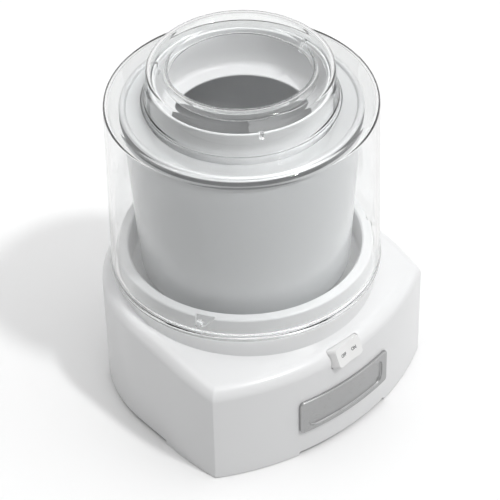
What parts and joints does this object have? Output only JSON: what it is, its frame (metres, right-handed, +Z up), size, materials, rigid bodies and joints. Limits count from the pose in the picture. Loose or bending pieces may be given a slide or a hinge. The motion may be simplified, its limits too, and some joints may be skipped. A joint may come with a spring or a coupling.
{
  "type": "ice cream maker",
  "caption": "Countertop ice cream maker: motor base, freezer bowl in a round well, fixed mixing paddle and a clear lift-off lid with an ingredient spout.",
  "frame": {"origin": "on the table, on the axis of the bowl, which is the centre of the footprint", "axes": "+Z up along the bowl's axis, -Y towards the front with the switch, +X to the right seen from the front"},
  "size_m": [0.218, 0.2356, 0.285],
  "materials": {
    "housing": "white moulded plastic, satin gloss",
    "switch_white": "white moulded plastic, satin gloss",
    "clear": "clear moulded plastic, polished",
    "bowl_white": "pale grey-white moulded plastic, satin",
    "liner": "spun aluminium, satin",
    "gel": "sealed freezing fluid",
    "paddle_white": "white moulded plastic, satin",
    "nameplate": "satin silver plate",
    "steel": "zinc plated steel",
    "zinc": "galvanised sheet steel",
    "bronze": "sintered bronze",
    "copper": "enamelled copper winding",
    "laminations": "stacked silicon steel",
    "acetal": "natural acetal",
    "rubber": "moulded rubber",
    "dark_plastic": "black moulded plastic"
  },
  "bodies": {
    "base": {"base_housing": "housing", "nameplate": "nameplate", "bottom_plate": "dark_plastic", "cord_gland": "rubber", "rubber_foot_front_left": "rubber", "rubber_foot_front_right": "rubber", "rubber_foot_rear_left": "rubber", "rubber_foot_rear_right": "rubber", "bottom_screw_front_left": "steel", "bottom_screw_front_right": "steel", "bottom_screw_rear_left": "steel", "bottom_screw_rear_right": "steel", "switch_body": "dark_plastic", "switch_pin": "steel", "gear_frame": "zinc", "frame_screw_1": "steel", "frame_screw_2": "steel", "frame_screw_3": "steel", "frame_screw_4": "steel", "spindle_bush_lower": "bronze", "spindle_bush_upper": "bronze", "shaft_seal": "rubber", "compound_axle": "steel", "stator_stack": "laminations", "coil_upper": "copper", "coil_lower": "copper", "bracket_upper": "zinc", "bracket_lower": "zinc", "motor_bush_upper": "bronze", "motor_bush_lower": "bronze", "motor_bolt_1": "steel", "motor_bolt_2": "steel"},
    "rocker": {"rocker_switch": "switch_white"},
    "spindle": {"drive_spindle": "steel", "output_gear": "acetal", "drive_hub": "acetal"},
    "compound": {"compound_gear": "acetal"},
    "rotor": {"motor_shaft": "steel", "rotor_core": "laminations", "cooling_fan": "dark_plastic", "motor_pinion": "steel"},
    "bowl": {"bowl_shell": "bowl_white", "bowl_liner": "liner", "bowl_gel": "gel", "bowl_drive_ring": "acetal"},
    "paddle": {"paddle": "paddle_white"},
    "lid": {"lid": "clear"}
  },
  "joints": [
    {"name": "switch_rock", "type": "hinge", "parent": "base", "child": "rocker", "pos_m": [0, -0.10553, 0.07911], "axis": [0, 0.4226, 0.9063], "range_deg": [-15, 0]},
    {"name": "bowl_spin", "type": "hinge", "parent": "base", "child": "spindle", "pos_m": [0, 0, 0.08], "axis": [0, 0, 1], "continuous": true},
    {"name": "compound_spin", "type": "hinge", "parent": "base", "child": "compound", "pos_m": [-0.0524, -0.01305, 0.08], "axis": [0, 0, 1], "continuous": true},
    {"name": "motor_spin", "type": "hinge", "parent": "base", "child": "rotor", "pos_m": [-0.05497, -0.05497, 0.05], "axis": [0, 0, 1], "continuous": true},
    {"name": "bowl_lift", "type": "slide", "parent": "spindle", "child": "bowl", "axis": [0, 0, 1], "range_m": [0, 0.14]},
    {"name": "paddle_lift", "type": "slide", "parent": "base", "child": "paddle", "axis": [0, 0, 1], "range_m": [0, 0.322]},
    {"name": "lid_lift", "type": "slide", "parent": "paddle", "child": "lid", "axis": [0, 0, 1], "range_m": [0, 0.2]}
  ],
  "couplings": [
    {"joint": "compound_spin", "follows": "bowl_spin", "ratio": -5},
    {"joint": "motor_spin", "follows": "bowl_spin", "ratio": 30},
    {"joint": "paddle_lift", "follows": "bowl_lift", "ratio": 2.3}
  ]
}
